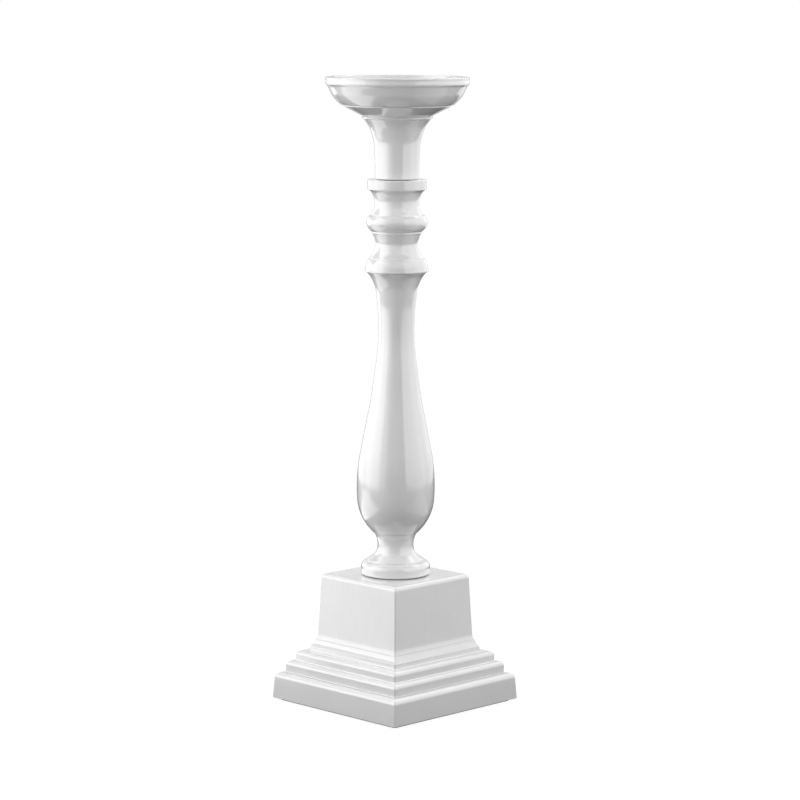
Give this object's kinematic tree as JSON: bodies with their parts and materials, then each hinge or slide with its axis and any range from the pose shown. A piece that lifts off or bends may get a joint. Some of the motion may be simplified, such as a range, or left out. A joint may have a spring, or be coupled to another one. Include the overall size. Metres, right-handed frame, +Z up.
{
  "type": "candlestick",
  "caption": "Turned wooden candlestick, lacquered white: shallow cup for a pillar candle, ringed baluster stem and a square stepped plinth with a felt underside.",
  "frame": {"origin": "on the table, under the middle of the square plinth", "axes": "+Z up along the stem's turning axis; +X and +Y square to the plinth's sides"},
  "size_m": [0.1264, 0.1264, 0.4518],
  "materials": {
    "lacquered_wood": "white satin-gloss lacquer over turned hardwood",
    "felt": "grey wool felt",
    "zinc_steel": "bright zinc plate",
    "insert_brass": "as machined"
  },
  "bodies": {
    "root": {"base_felt": "felt", "base_slab": "lacquered_wood", "pedestal_block": "lacquered_wood", "step_moulding_front": "lacquered_wood", "step_moulding_right": "lacquered_wood", "step_moulding_back": "lacquered_wood", "step_moulding_left": "lacquered_wood", "foot_spool": "lacquered_wood", "baluster": "lacquered_wood", "ring_section": "lacquered_wood", "neck_section": "lacquered_wood", "candle_cup": "lacquered_wood", "tie_rod": "zinc_steel", "cup_insert": "insert_brass", "rod_washer": "zinc_steel", "rod_nut": "zinc_steel", "slab_screw_1": "zinc_steel", "slab_screw_2": "zinc_steel", "slab_screw_3": "zinc_steel", "slab_screw_4": "zinc_steel"}
  },
  "joints": []
}
